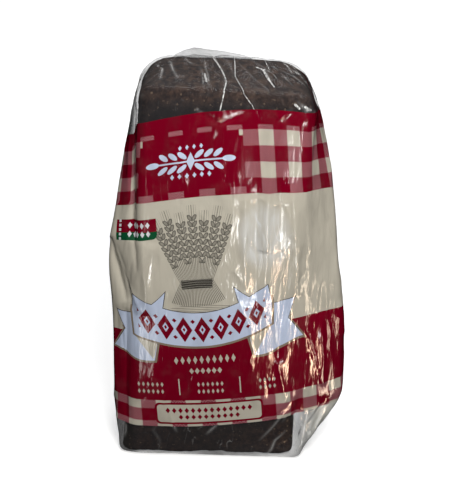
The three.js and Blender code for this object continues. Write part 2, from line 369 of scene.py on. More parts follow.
def tail_rings():
    """The rings of the tail from the waist to its flat end"""
    middles, directions = centripetal(TAIL_LINE, TAIL_RINGS + 1)
    shares = np.linspace(0, 1, TAIL_RINGS + 1)
    to_left, to_right = smooth_through(TAIL_LEFT)(shares), smooth_through(TAIL_RIGHT)(shares)
    droops = smooth_through(TAIL_DROOP)(shares)
    half_thick = smooth_through(TAIL_HALF_THICK)(shares)
    pleat_height = smooth_through(TAIL_PLEAT_HEIGHT)(shares)
    turned = np.arange(AROUND) / AROUND * 2 * math.pi
    aside = np.sin(turned)
    pleats = np.cos(TAIL_PLEATS * math.pi * (aside + 1))
    rings = []
    for n, (middle, direction) in enumerate(zip(middles, directions)):
        away = np.cross((1, 0, 0), direction)
        away /= np.linalg.norm(away)
        reach = aside * np.where(aside < 0, to_left[n], to_right[n])
        lift = half_thick[n] * np.cos(turned) + pleat_height[n] * pleats - droops[n] * np.abs(aside)
        rings.append(middle + np.outer(reach, (1, 0, 0)) + np.outer(lift, away))
    return np.array(rings)


def ring_faces(ring_count, around):
    """Quads of a stack of rings, and the two fans that close its ends"""
    r, i = np.meshgrid(np.arange(ring_count - 1), np.arange(around), indexing="ij")
    r, i = r.ravel(), i.ravel()
    following = (i + 1) % around
    low, high = r * around, (r + 1) * around
    quads = np.column_stack([low + i, low + following, high + following, high + i])
    low_middle, high_middle = ring_count * around, ring_count * around + 1
    start = (ring_count - 1) * around
    fans = []
    for n in range(around):
        fans.append((low_middle, (n + 1) % around, n))
        fans.append((high_middle, start + n, start + (n + 1) % around))
    return quads.tolist() + fans


def grid_normals(rings):
    """Outward normals of a stack of rings"""
    along = np.roll(rings, -1, axis=1) - np.roll(rings, 1, axis=1)
    up = np.gradient(rings, axis=0)
    normals = np.cross(along, up)
    return normals / np.maximum(np.linalg.norm(normals, axis=2, keepdims=True), 1e-9)


body, body_rounds = body_rings()
tail = tail_rings()
film = np.concatenate([body, tent_rings(body[-1], tail[0]), tail])
BODY_COUNT = len(body)

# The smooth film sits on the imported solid's box: this is where the loaf's axis stands
sheared = film + LEAN * film[..., 2:] * np.array([1, 0, 0])
node_lo, node_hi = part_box("bagged_loaf")
low, high = sheared.reshape(-1, 3).min(axis=0), sheared.reshape(-1, 3).max(axis=0)
AXIS_PLACE = (np.array(node_lo) + np.array(node_hi)) / 2 / MM - (low + high) / 2
AXIS_PLACE[2] = 0


def placed(points):
    """Loaf-frame millimetres as metres in the frame that the solid stands in"""
    points = np.array(points, float)
    return (points + LEAN * points[..., 2:] * np.array([1, 0, 0]) + AXIS_PLACE) * MM


# Creases of the film: height, half-width, how white they are (whitened film and painted highlight), and
# the points that they run through, on the front as [across, up] and on the top end as [across, back]
FRONT_CREASES = [
    (1.1, 1.1, 0.4, [(-3.9, 207.8), (-5.4, 196.6), (-8, 186)]),
    (-0.8, 1.2, 0.4, [(12.4, 206), (16, 196), (19, 188)]),
    (-1.2, 1.4, 0.5, [(-17, 201), (-4, 193.5), (8, 199)]),
    (0.7, 0.9, 0.5, [(22, 201), (27, 197), (33, 201)]),
    (0.9, 1, 0.8, [(35.2, 204.4), (40, 201), (44.6, 199.9)]),
    (0.8, 0.9, 0.6, [(38, 207), (41, 196), (42, 188)]),
    (-1.0, 1.3, 0.5, [(36.8, 125.5), (33.7, 107), (33.1, 60.6)]),
    (0.8, 1, 0.7, [(32.9, 59.3), (35, 50), (38.1, 38)]),
    (0.9, 1.2, 0.7, [(43.8, 27.6), (45, 18), (47.2, 7.6)]),
    (0.9, 1.1, 0.7, [(47.3, 76), (51, 66), (54, 57), (57.3, 36)]),
    (0.7, 1, 0.5, [(60, 62), (57, 50), (61, 38)]),
    (0.8, 1.1, 0.5, [(-57, 118), (-50, 103), (-45, 92)]),
    (0.5, 1.1, 0.3, [(-45, 206), (-47.5, 180), (-48, 150), (-47, 128)]),
    (0.6, 1, 0.3, [(8, 152), (20, 153), (27, 150), (36, 152)]),
    (-0.6, 1, 0.3, [(9, 131), (20, 122), (36, 122)]),
    (0.5, 0.9, 0.3, [(-14, 64), (-12, 50), (-15, 38)]),
    (0.6, 1, 0.4, [(58, 30), (52, 22), (50, 12)]),
    (0.6, 1, 0.4, [(66, 34), (60, 22), (54, 10)]),
    (0.8, 0.9, 0.9, [(71, 42), (63, 33), (58, 20), (52, 6)]),
    (0.8, 0.9, 0.9, [(52, 27), (50, 15), (49, 3)]),
    (-0.7, 0.9, 0.6, [(62, 34), (54, 21), (50.5, 5)]),
    (0.7, 0.9, 0.8, [(69, 26), (64, 16), (55, 3)]),
    (0.7, 0.9, 0.7, [(-46, 206), (-49, 196), (-49.5, 184)]),
    (-2.2, 1.6, 0, [(-48.5, 192), (-47.5, 160), (-47.5, 128), (-45, 110)]),
    (0.9, 1.2, 0.4, [(-51.5, 204), (-51.5, 180), (-52, 150)]),
    (1.2, 3, 0, [(-43, 130), (-41, 108), (-38, 90)]),
    (-1.5, 2.5, 0, [(-56, 118), (-50, 100), (-46, 82)]),
    (1, 2.6, 0, [(-53, 96), (-50, 70), (-49, 30)]),
    (1.3, 2.8, 0, [(11, 156), (12, 128), (13, 100)]),
    (-1.3, 2.6, 0, [(17, 160), (18, 130), (20, 96)]),
    (1.4, 2.6, 0, [(22, 158), (24, 126), (24, 92)]),
    (0.8, 2.6, 0, [(3, 176), (5, 150), (4, 128)]),
]
TOP_CREASES = [
    (0.9, 0.9, 0.3, [(-16, -6), (-14.5, -16), (-14, -26), (-14.6, -38)]),
    (0.8, 0.9, 0.6, [(28, 8), (35, -4), (41, -20)]),
    (0.7, 0.8, 0.8, [(34, 12), (38, 4), (43, -8)]),
    (0.8, 0.9, 0.25, [(4, 14), (7, 0), (12, -14), (21, -34)]),
    (0.7, 0.8, 0.4, [(-26, 20), (-22, 8), (-14, -8)]),
    (0.6, 0.8, 0.7, [(-40, 10), (-36, -6), (-37, -24)]),
    (1.3, 1.1, 0.3, [(-11, 16), (-7.6, 8.4), (-4, -8), (-2.4, -25), (-3.9, -39)]),
    (-0.9, 1.2, 0.25, [(-4, 18), (1, 2), (3.6, -16.6), (9, -30), (12.4, -41)]),
    (0.9, 1, 0.7, [(-33.8, 24.9), (-31, 2), (-27.7, -20.6), (-24.6, -17.6)]),
    (1.2, 1, 0.3, [(8, 26), (14.4, 12.9), (18.9, 0.2), (23.4, -27.6)]),
    (0.8, 0.9, 0.6, [(14, 30), (20.8, 25.6), (30.5, -8), (33, -22)]),
    (0.7, 0.9, 0.5, [(24, 30), (30.2, 26.1), (34.7, 1.2)]),
    (0.7, 1.6, 0.5, [(-14, 10), (-12.9, -0.9), (-11.5, -22), (-11.1, -39)]),
]
# Sharp white lines where the film is creased hard, whitened film and painted highlights: half-width, and
# points as for the creases
TOP_STROKES = [
    (0.4, [(-10.9, 19.5), (-7, 4.4), (-1.8, -24.5), (-3.1, -38)]),
    (0.25, [(2.7, 22.8), (3, -10.3), (7.3, -37.1)]),
    (0.5, [(14.6, 5.9), (18, -0.9), (20.3, -11.6), (23.5, -24.9)]),
    (0.4, [(18, -0.9), (22, -3.3)]),
    (0.2, [(19.4, 27.1), (22.6, -2), (24.8, -13.4)]),
    (0.2, [(29.9, 24.3), (33.9, 5.8)]),
    (0.2, [(33.4, 20.6), (40, 2.6)]),
    (0.55, [(-13.3, -16), (-12.3, -26.2)]),
    (0.5, [(-8.7, 17.2), (-7, 9.1)]),
]
FRONT_STROKES = [
    (0.3, [(-3.1, 208.5), (-4.7, 200.5)]),
    (0.2, [(7.3, 208.5), (11.9, 203.2), (13, 201)]),
    (0.6, [(34.2, 203.9), (36.4, 202)]),
    (0.6, [(39.5, 202.9), (42.3, 201.1)]),
    (0.35, [(52, 27), (50.5, 15), (49, 4)]),
    (0.8, [(49.3, 7.5), (49, 5.5)]),
    (0.3, [(64, 33), (60, 24), (56, 14)]),
]
CREASE_DECAY = 1.3
CREASE_REACH = 4
WHITE_HALF = 0.75

# The short creases all over the film: how many, and the ranges that their sizes are drawn from
RANDOM_CREASES = 90
CREASE_SEED = 11
RANDOM_RISE = (6, 26)
RANDOM_SWEEP = 0.45
RANDOM_BEND = 1.4
RANDOM_HEIGHT = (0.25, 0.7)
RANDOM_HALF = (0.9, 1.6)
RANDOM_WHITE = (0.05, 0.5)
POINT_SPACING = 1.1

# The lap seam up the middle of the back
SEAM_HALF = 6
SEAM_STEP = 0.6


def laid(points, flat, candidates, places):
    """The film's nearest points to a crease's [a, b] points, among the candidates"""
    return [places[candidates[np.argmin(((flat[candidates] - p) ** 2).sum(axis=1))]] for p in points]


def crease_field(places, lines):
    """Outward push and whiteness that creases give each of the film's points"""
    push, white = np.zeros(len(places)), np.zeros(len(places))
    for height, half, whiteness, path in lines:
        path = np.array(path)
        lengths = np.linalg.norm(np.diff(path, axis=0), axis=1)
        starts = np.concatenate([[0], np.cumsum(lengths)])
        reach = half * CREASE_REACH
        inside = (places > path.min(axis=0) - reach) & (places < path.max(axis=0) + reach)
        near = np.nonzero(inside.all(axis=1))[0]
        nearest = np.full(len(near), 1e9)
        along = np.zeros(len(near))
        for a, b, length, start in zip(path, path[1:], lengths, starts):
            if length < 1e-6:
                continue
            t = np.clip(((places[near] - a) @ (b - a)) / length**2, 0, 1)
            distance = np.linalg.norm(places[near] - a - t[:, None] * (b - a), axis=1)
            closer = distance < nearest
            nearest = np.where(closer, distance, nearest)
            along = np.where(closer, (start + t * length) / starts[-1], along)
        taper = np.sqrt(np.sin(np.pi * np.clip(along, 0.02, 0.98)))
        ridge = np.exp(-CREASE_DECAY * nearest / half) * (nearest < reach)
        push[near] += height * taper * ridge
        line = np.exp(-((nearest / WHITE_HALF) ** 2))
        white[near] = np.maximum(white[near], whiteness * taper * line)
    return push, white


def random_creases(rings):
    """Short creases all over the film, most of them steep and faint"""
    rng = np.random.default_rng(CREASE_SEED)
    creases = []
    for _ in range(RANDOM_CREASES):
        ring = rng.integers(8, BODY_COUNT - 8)
        column = rng.integers(0, AROUND)
        rise = rng.uniform(*RANDOM_RISE)
        sweep = rng.normal(0, RANDOM_SWEEP) * rise
        path = []
        for step, bend in zip(np.linspace(-0.5, 0.5, 4), rng.normal(0, RANDOM_BEND, 4)):
            r = int(np.clip(ring + step * rise / POINT_SPACING, 3, BODY_COUNT - 2))
            c = int(column + (step * sweep + bend) / POINT_SPACING) % AROUND
            path.append(rings[r, c])
        height = rng.choice([-1, 1]) * rng.uniform(*RANDOM_HEIGHT)
        half = rng.uniform(*RANDOM_HALF)
        creases.append((height, half, rng.uniform(*RANDOM_WHITE), path))
    return creases


flat_places = film.reshape(-1, 3)
flat_normals = grid_normals(film).reshape(-1, 3)
film_x, _, film_z = flat_places.T
tail_start = (BODY_COUNT + TENT_RINGS) * AROUND
front_points = np.nonzero(flat_normals[: BODY_COUNT * AROUND, 1] < -0.2)[0]
top_points = np.nonzero(flat_normals[:tail_start, 2] > 0.3)[0]
creases = [
    (height, half, white, laid(path, flat_places[:, axes], points, flat_places))
    for lines, axes, points in ((FRONT_CREASES, [0, 2], front_points), (TOP_CREASES, [0, 1], top_points))
    for height, half, white, path in lines
]
creases += random_creases(film)
# Each crease's whiteness is whitened film and a painted highlight along it
push, crease_whitening_and_highlight = crease_field(flat_places, creases)

# Fine crinkle, stretched upwards because the film is pulled round the loaf, and a softer waviness:
# height, size and seed. The film is taut over the loaf and crinkles most where it stands slack.
CRINKLES = ((0.2, 5, 3), (0.08, 2.4, 4))
WAVE_HEIGHT, WAVE_SIZE, WAVE_SEED = 0.55, 14, 5
UPWARD_STRETCH = 0.22
TAIL_RELIEF = 0.4
slack = np.maximum(smoothstep(30, 46, film_x), smoothstep(40, 52, -film_x))
slack = np.maximum(slack, 0.6 * smoothstep(196, 206, film_z))
stretched = flat_places * np.array([1, 1, UPWARD_STRETCH])
crinkle = np.zeros(len(flat_places))
for height, size, seed in CRINKLES:
    crinkle += height * (1 - 2 * np.abs(lattice_noise(stretched, size, seed)))
waves = WAVE_HEIGHT * lattice_noise(stretched, WAVE_SIZE, WAVE_SEED)
from_seam = (body_rounds[:, :-1] - body_rounds[:, HALF_WAY, None]).ravel()
from_seam = np.append(from_seam, np.full(len(flat_places) - len(from_seam), FILM_ROUND))
seam = SEAM_STEP * smoothstep(-1, 1, SEAM_HALF - np.abs(from_seam)) * (1 + 0.3 * np.sign(from_seam))
relief = push + seam + crinkle * (0.3 + 1.2 * slack) + waves * (0.6 + 0.6 * slack)
relief *= smoothstep(0, FOLD_FADE, film_z)
relief[tail_start:] *= TAIL_RELIEF
film_places = flat_places + relief[:, None] * flat_normals


def new_piece(name, vertices, faces, material):
    """A smooth-shaded mesh object from loaf-frame millimetres"""
    mesh = bpy.data.meshes.new(name)
    mesh.from_pydata(placed(vertices).tolist(), [], faces)
    mesh.validate()
    mesh.polygons.foreach_set("use_smooth", [True] * len(mesh.polygons))
    mesh.materials.append(material)
    piece = bpy.data.objects.new(name, mesh)
    bpy.context.scene.collection.objects.link(piece)
    return piece


def point_values(piece, name, values):
    """Stores one number at each of a piece's points, for its material to read"""
    attribute = piece.data.attributes.new(name, "FLOAT", "POINT")
    attribute.data.foreach_set("value", np.asarray(values, np.float32))


# The rye loaf: the same rounded block as the film is drawn over, with its own crust
LOAF_AROUND = 240
LOAF_RINGS = 170
LOAF_FOOT = 0.6
FOOT_ROUNDING = 2.5
FOOT_FLARE = 2.2
FLARE_TOP = 60
CAP_RINGS = 26
FOOT_TURNS = 8
EDGE_TURNS = 10
EDGE_TURNED = 0.88
CAP_RISE = 0.18
CRUST_SINK = 0.4
CRUST_DEPTH = 0.8
CRUST_LEVEL = 0.55
CHIP_DEPTH = 1.2


def loaf_section(height):
    foot_past = FOOT_ROUNDING + LOAF_FOOT - height
    foot_inset = rounded_in(FOOT_ROUNDING, min(foot_past, FOOT_ROUNDING))
    front_inset = rounded_in(END_EDGE, height - LOAF_HEIGHT + END_EDGE) + foot_inset
    back_inset = rounded_in(END_CROWN, height - LOAF_HEIGHT + END_CROWN) + foot_inset
    points = disc_points(corner_discs(front_inset, back_inset, -CRUST_SINK))
    return evenly_round(convex_outline(points), LOAF_AROUND, 0, 0)


def loaf_rings():
    """The loaf's rings: its foot's cap, its sides and its top end's cap, spread a little at the foot"""
    low_turns = LOAF_FOOT + FOOT_ROUNDING * (1 - np.cos(np.linspace(0, 1, FOOT_TURNS) * math.pi / 2))
    turned = np.linspace(0, EDGE_TURNED, EDGE_TURNS) * math.pi / 2
    high_turns = LOAF_HEIGHT - END_EDGE * (1 - np.sin(turned))
    straight = np.linspace(low_turns[-1], LOAF_HEIGHT - END_EDGE, LOAF_RINGS)
    heights = [*low_turns, *straight[1:-1], *high_turns]
    rings = [np.column_stack([loaf_section(height), np.full(LOAF_AROUND, height)]) for height in heights]
    foot, edge = rings[0], rings[-1]
    middle_low = foot.mean(axis=0)
    middle_high = edge.mean(axis=0) * (1, 1, 0) + (0, 0, LOAF_HEIGHT)
    shares = np.linspace(0, 1, CAP_RINGS + 1)[1:-1]
    low_cap = [foot + share * (middle_low - foot) for share in shares[::-1]]
    high_cap = []
    for share in shares:
        ring = edge + share * (middle_high - edge)
        ring[:, 2] = edge[:, 2] + (LOAF_HEIGHT - edge[:, 2]) * smoothstep(0, CAP_RISE, share)
        high_cap.append(ring)
    rings = np.array(low_cap + rings + high_cap)
    rings[..., 2] += end_rise(rings)
    flare = FOOT_FLARE * (1 - smoothstep(0, FLARE_TOP, rings[..., 2]))
    rings[..., 0] -= flare * smoothstep(0, LOAF_WIDTH / 2, LOAF_OFFSET - rings[..., 0])
    return rings


def near_face(size, places):
    """1 on the loaf's two faces that stand a size apart, 0 well inside them"""
    return smoothstep(size / 2 - 12, size / 2 - 2, np.abs(places))


loaf = loaf_rings()
loaf_places = loaf.reshape(-1, 3)
loaf_normals = grid_normals(loaf).reshape(-1, 3)
loaf_x, loaf_y, loaf_z = loaf_places.T
near_x, near_y = near_face(LOAF_WIDTH, loaf_x), near_face(LOAF_DEPTH, loaf_y)
near_end = smoothstep(LOAF_HEIGHT - 14, LOAF_HEIGHT - 3, loaf_z)
near_foot = 0.4 * (1 - smoothstep(3, 12, loaf_z))
ends = np.maximum(near_end, near_foot)
edge_wear = np.maximum.reduce([near_x * near_y, near_x * ends, near_y * ends])
crust = 0.55 * lattice_noise(loaf_places, 17, 21) + 0.3 * lattice_noise(loaf_places, 6, 22)
pits = lattice_noise(loaf_places, 2.4, 23)
crust += 0.16 * pits - 0.5 * smoothstep(0.45, 0.8, pits) + 0.2 * lattice_noise(loaf_places, 1.3, 24)
chips = edge_wear * smoothstep(0.1, 0.7, lattice_noise(loaf_places, 5, 25))
crust_relief = (crust - CRUST_LEVEL - CHIP_DEPTH * chips) * CRUST_DEPTH
loaf_places = loaf_places + crust_relief[:, None] * loaf_normals
loaf_vertices = np.vstack([loaf_places, loaf[0].mean(axis=0), loaf[-1].mean(axis=0)])
loaf_faces = ring_faces(len(loaf), LOAF_AROUND)

film_vertices = np.vstack([film_places, film[0].mean(axis=0), film[-1].mean(axis=0)])
film_faces = ring_faces(len(film), AROUND)

# The film lies on the loaf wherever it would dip into it
CLEARANCE = 0.4
DEEPEST_DIP = 8
FILM_FOOT = 0.5
loaf_tree = BVHTree.FromPolygons(loaf_vertices.tolist(), loaf_faces)
stand_off = np.empty(len(film_vertices))
for index, place in enumerate(film_vertices):
    nearest, normal, _, distance = loaf_tree.find_nearest(Vector(place))
    height = (Vector(place) - nearest).dot(normal)
    if height < CLEARANCE and distance < DEEPEST_DIP and place[2] > FILM_FOOT:
        film_vertices[index] = np.array(nearest + normal * CLEARANCE)
    stand_off[index] = distance if height > 0 else 0


class Term:
    """A number worked out by a material's nodes; masks are 0 or 1, & is both and | is either"""

    def __init__(self, tree, socket):
        self.tree = tree
        self.socket = socket

    def made(self, operation, *others, clamp=False):
        node = self.tree.nodes.new("ShaderNodeMath")
        node.operation = operation
        node.use_clamp = clamp
        for slot, value in zip(node.inputs, (self, *others)):
            connect(self.tree, slot, value)
        return Term(self.tree, node.outputs[0])

    __add__ = __radd__ = partialmethod(made, "ADD")
    __sub__ = partialmethod(made, "SUBTRACT")
    __mul__ = __rmul__ = partialmethod(made, "MULTIPLY")
    __truediv__ = partialmethod(made, "DIVIDE")
    __pow__ = partialmethod(made, "POWER")
    __mod__ = partialmethod(made, "FLOORED_MODULO")
    __abs__ = partialmethod(made, "ABSOLUTE")
    __lt__ = partialmethod(made, "LESS_THAN")
    __gt__ = partialmethod(made, "GREATER_THAN")
    __and__ = partialmethod(made, "MINIMUM")
    __or__ = partialmethod(made, "MAXIMUM")

    def __rsub__(self, other):
        return (self * -1) + other

    def __invert__(self):
        return 1 - self

    def ramp(self, low, high):
        """0 below low, 1 above high, smooth between"""
        node = self.tree.nodes.new("ShaderNodeMapRange")
        node.interpolation_type = "SMOOTHSTEP"
        connect(self.tree, node.inputs["Value"], self)
        node.inputs["From Min"].default_value = low
        node.inputs["From Max"].default_value = high
        return Term(self.tree, node.outputs["Result"])


def connect(tree, slot, value):
    """Feeds a socket with a number, a colour, a socket or a term"""
    if isinstance(value, Term):
        tree.links.new(value.socket, slot)
    elif isinstance(value, bpy.types.NodeSocket):
        tree.links.new(value, slot)
    else:
        slot.default_value = value


def rgb(red, green, blue):
    """A screen colour, 0 to 255, as the linear colour that a shader takes"""
    channels = [c / 255 for c in (red, green, blue)]
    return [c / 12.92 if c <= 0.04045 else ((c + 0.055) / 1.055) ** 2.4 for c in channels] + [1]


def new_material(name):
    material = bpy.data.materials.new(name)
    material.use_nodes = True
    material.node_tree.nodes.clear()
    return material, material.node_tree


def principled(tree, sockets):
    """The main shader with its sockets fed"""
    shader = tree.nodes.new("ShaderNodeBsdfPrincipled")
    for name, value in sockets.items():
        connect(tree, shader.inputs[name], value)
    return shader.outputs[0]


def show(tree, surface):
    output = tree.nodes.new("ShaderNodeOutputMaterial")
    tree.links.new(surface, output.inputs["Surface"])


def painted(tree, under, over, mask):
    """A colour laid over another one where the mask says"""
    node = tree.nodes.new("ShaderNodeMix")
    node.data_type = "RGBA"
    for slot, value in ((0, mask), (6, under), (7, over)):
        connect(tree, node.inputs[slot], value)
    return node.outputs[2]


def attribute(tree, name):
    node = tree.nodes.new("ShaderNodeAttribute")
    node.attribute_name = name
    return Term(tree, node.outputs["Fac"])


def xyz(tree, vector):
    """A vector's three numbers"""
    node = tree.nodes.new("ShaderNodeSeparateXYZ")
    tree.links.new(vector, node.inputs[0])
    return [Term(tree, socket) for socket in node.outputs]


def millimetres(tree, stretch=(1, 1, 1)):
    """The object's own coordinates in millimetres, stretched for a directed texture"""
    place = tree.nodes.new("ShaderNodeTexCoord")
    mapping = tree.nodes.new("ShaderNodeMapping")
    mapping.inputs["Scale"].default_value = [s / MM for s in stretch]
    tree.links.new(place.outputs["Object"], mapping.inputs["Vector"])
    return mapping.outputs["Vector"]


def noise(tree, vector, size, detail=3, roughness=0.55, distortion=0):
    node = tree.nodes.new("ShaderNodeTexNoise")
    tree.links.new(vector, node.inputs["Vector"])
    node.inputs["Scale"].default_value = 1 / size
    node.inputs["Detail"].default_value = detail
    node.inputs["Roughness"].default_value = roughness
    node.inputs["Distortion"].default_value = distortion
    return Term(tree, node.outputs["Fac"])


def cells(tree, vector, size):
    """Distance from the middle of the nearest of many scattered cells"""
    node = tree.nodes.new("ShaderNodeTexVoronoi")
    tree.links.new(vector, node.inputs["Vector"])
    node.inputs["Scale"].default_value = 1 / size
    return Term(tree, node.outputs["Distance"])


def bumped(tree, height, distance, strength):
    node = tree.nodes.new("ShaderNodeBump")
    node.inputs["Strength"].default_value = strength
    node.inputs["Distance"].default_value = distance * MM
    connect(tree, node.inputs["Height"], height)
    return node.outputs["Normal"]


# The print: across is measured round the bag from the print's centre line, up along it, both in
# millimetres and kept in the film's UV layer divided by PRINT_SPAN
PRINT_SPAN = 500
PRINT_TOP = 199.8
PRINT_FOOT = 18.4
PANEL_TOP = 154
PANEL_FOOT = 78
CHECK_TOP = 191.8
CHECK_FOOT = 34.6
COLUMN = 8.3
ROW = 8.8
ROW_LEVEL = 180.4
LOW_ROW = 7.6
LOW_ROW_LEVEL = 29.4
LOW_ROW_TILT = 0.03
LOW_ROW_TILTED = 60
HATCH = 1.5
HATCH_SHARE = 0.46
HERRINGBONE = 2.7
RED = rgb(122, 2, 30)
HATCH_RED = rgb(104, 6, 34)
HATCH_PINK = rgb(196, 134, 140)
CREAM = rgb(200, 194, 179)
PALE = rgb(204, 216, 240)
TAUPE = rgb(142, 128, 112)
OUTLINE = rgb(66, 62, 66)
INK = rgb(40, 39, 38)
GREEN = rgb(16, 82, 50)
WHITE = rgb(226, 228, 232)


class Sheet:
    """The flat print: places on it, and simple shapes there as masks"""

    def __init__(self, across, up):
        self.across = across
        self.up = up
        self.aside = abs(across)

    def band(self, low, high):
        return (self.up > low) & (self.up < high)

    def box(self, left, right, low, high):
        return (self.across > left) & (self.across < right) & self.band(low, high)

    def rounded_box(self, left, right, low, high, radius):
        over = (abs(self.across - (left + right) / 2) - ((right - left) / 2 - radius)) | 0
        under = (abs(self.up - (low + high) / 2) - ((high - low) / 2 - radius)) | 0
        return (over * over + under * under) < radius**2

    def diamonds(self, left, right, level, period, half_width, half_height):
        """A row of diamonds"""
        along = abs((self.across - left) % period - period / 2) / half_width
        row = (self.across > left) & (self.across < right)
        return row & ((along + abs(self.up - level) / half_height) < 1)

    def polygon(self, *corners):
        """Distance inside a convex polygon on both sides alike, its corners anticlockwise"""
        inside = None
        for (x0, y0), (x1, y1) in zip(corners, corners[1:] + corners[:1]):
            length = math.hypot(x1 - x0, y1 - y0)
            nx, ny = (y0 - y1) / length, (x1 - x0) / length
            edge = self.aside * nx + self.up * ny - (nx * x0 + ny * y0)
            inside = edge if inside is None else inside & edge
        return inside


def leaning_oval(along, beside, degrees, half_long, half_short):
    """Under 1 inside an oval that leans: a grain of an ear"""
    lean = math.radians(degrees)
    long_way = (along * math.cos(lean) + beside * math.sin(lean)) / half_long
    short_way = (beside * math.cos(lean) - along * math.sin(lean)) / half_short
    return long_way * long_way + short_way * short_way


def gingham(sheet):
    """Rows and columns of cream, hatched where only one of the two is"""
    across, up = sheet.across, sheet.up
    columns = ((across - COLUMN / 2) % (2 * COLUMN)) < COLUMN
    high_rows = ((up - ROW_LEVEL) % (2 * ROW)) < ROW
    tilt = ((across | 0) & LOW_ROW_TILTED) * LOW_ROW_TILT
    low_rows = ((up + tilt - LOW_ROW_LEVEL) % (2 * LOW_ROW)) < LOW_ROW
    rows = (high_rows & (up > PANEL_FOOT)) | (low_rows & (up < PANEL_FOOT))
    in_check = sheet.band(PANEL_TOP, CHECK_TOP) | sheet.band(PRINT_FOOT, CHECK_FOOT)
    slant = (across % (2 * HERRINGBONE) < HERRINGBONE) * 2 - 1
    hatch = ((up + across * slant) % HATCH) < HATCH_SHARE * HATCH
    hatched = painted(across.tree, HATCH_RED, HATCH_PINK, hatch)
    either = (columns | rows) & ~(columns & rows)
    return [(hatched, in_check & either), (CREAM, in_check & columns & rows)]


def sprig_panel(sheet):
    """The plain red panel over the upper gingham and the sprig of grains on it"""
    level, start, period, grain_count = 174.2, 2.2, 5.2, 3
    aside, beside = sheet.aside, abs(sheet.up - level)
    step = (aside - start) % period - period / 2
    grains = leaning_oval(step, beside - 3.6, 38, 3.1, 1.35) < 1
    grains = grains & (aside > start) & (aside < start + grain_count * period)
    tip = (((aside - 21) / 3.6) ** 2 + (beside / 1.7) ** 2) < 1
    stem = (beside < 0.45) & (aside < 19)
    heart = (aside / 2.4 + beside / 5) < 1
    dots = sheet.diamonds(-12, 12, 166.4, 4, 1.1, 1.5) | sheet.diamonds(-8, 8, 182, 4, 1, 1.4)
    corners = sheet.box(27.2, 29.1, 186.2, 189.2) | sheet.box(-29.1, -27.6, 185.6, 189.2)
    return [
        (RED, sheet.box(-29.1, 29.1, 158, 189.2)),
        (CREAM, corners),
        (PALE, grains | tip | stem | heart | dots),
    ]


def sheaf(sheet):
    """The cream panel and a sheaf of rye in dark ink on it: a fan of ears and straws, tied below"""
    across, up = sheet.across + 1, sheet.up
    fan_foot, stubble_top = 84, 125
    ear_turn = math.radians(6.4)
    rise = up - fan_foot
    far = (across * across + rise * rise) ** 0.5
    turned = across.made("ARCTAN2", rise)
    ear = (turned / ear_turn + 0.5).made("FLOOR")
    in_fan = abs(ear) < 3.5
    off = abs((turned - ear * ear_turn) * far)
    reach = far + ((ear % 2) > 0.5) * 3.2
    roundness = leaning_oval((reach - 36) % 3.5 - 1.75, off - 1.25, 28, 2.2, 1.05)
    grains = (roundness < 1) & (reach > 36) & (reach < 60.5) & in_fan
    awns = ((off % 1.15) < 0.22) & (reach > 54) & (reach < 66) & in_fan & (off < 2.4)
    straws = ((turned / math.radians(1.5)) % 1 < 0.42) & (far > 19) & (reach < 37) & in_fan
    fall = stubble_top - up
    low_far = (across * across + fall * fall) ** 0.5
    low_turn = across.made("ARCTAN2", fall)
    stubble = ((low_turn / math.radians(1.7)) % 1 < 0.45) & (abs(low_turn) < 0.46)
    stubble = stubble & (low_far > 19) & (low_far < 33.5)
    tie = (abs(across) < 8.4) & (abs(up - 104.8) < 2.6)
    twine = (((up - 102.2) + abs(across) * 0.06) % 1.3) < 0.9
    ink = (grains * (0.42 + roundness * 0.55)) | (awns * 0.6) | (straws * 0.75)
    ink = ink | (stubble * 0.7) | (tie * (0.5 + twine * 0.45))
    ground = ((across / 17) ** 2 + ((up - 90.5) / 2.4) ** 2) < 1
    ground = ground & ((up + across * 0.12) % 1.4 < 0.5)
    return [
        (CREAM, sheet.band(PANEL_FOOT, PANEL_TOP)),
        (INK, (ink | (ground * 0.45)) & (up > 86)),
    ]


def tag(sheet):
    """The small red and green tag to the sheaf's left"""
    across, up = sheet.across, sheet.up
    over, under = (across + 23.3) | 0, (135.5 - up) | 0
    shape = sheet.box(-47, -20.3, 132.5, 144.5) & ((over * over + under * under) < 9)
    border = (abs(across + 44.3) < 0.8) & ((up % 2.6) < 1.6)
    marks = sheet.diamonds(-39.5, -23.5, 141, 3.2, 1.2, 1.9)
    marks = marks | sheet.diamonds(-39.5, -23.5, 136, 3.2, 1.2, 1.9)
    return [(RED, shape), (GREEN, shape & (up < 137)), (WHITE, shape & (border | marks))]


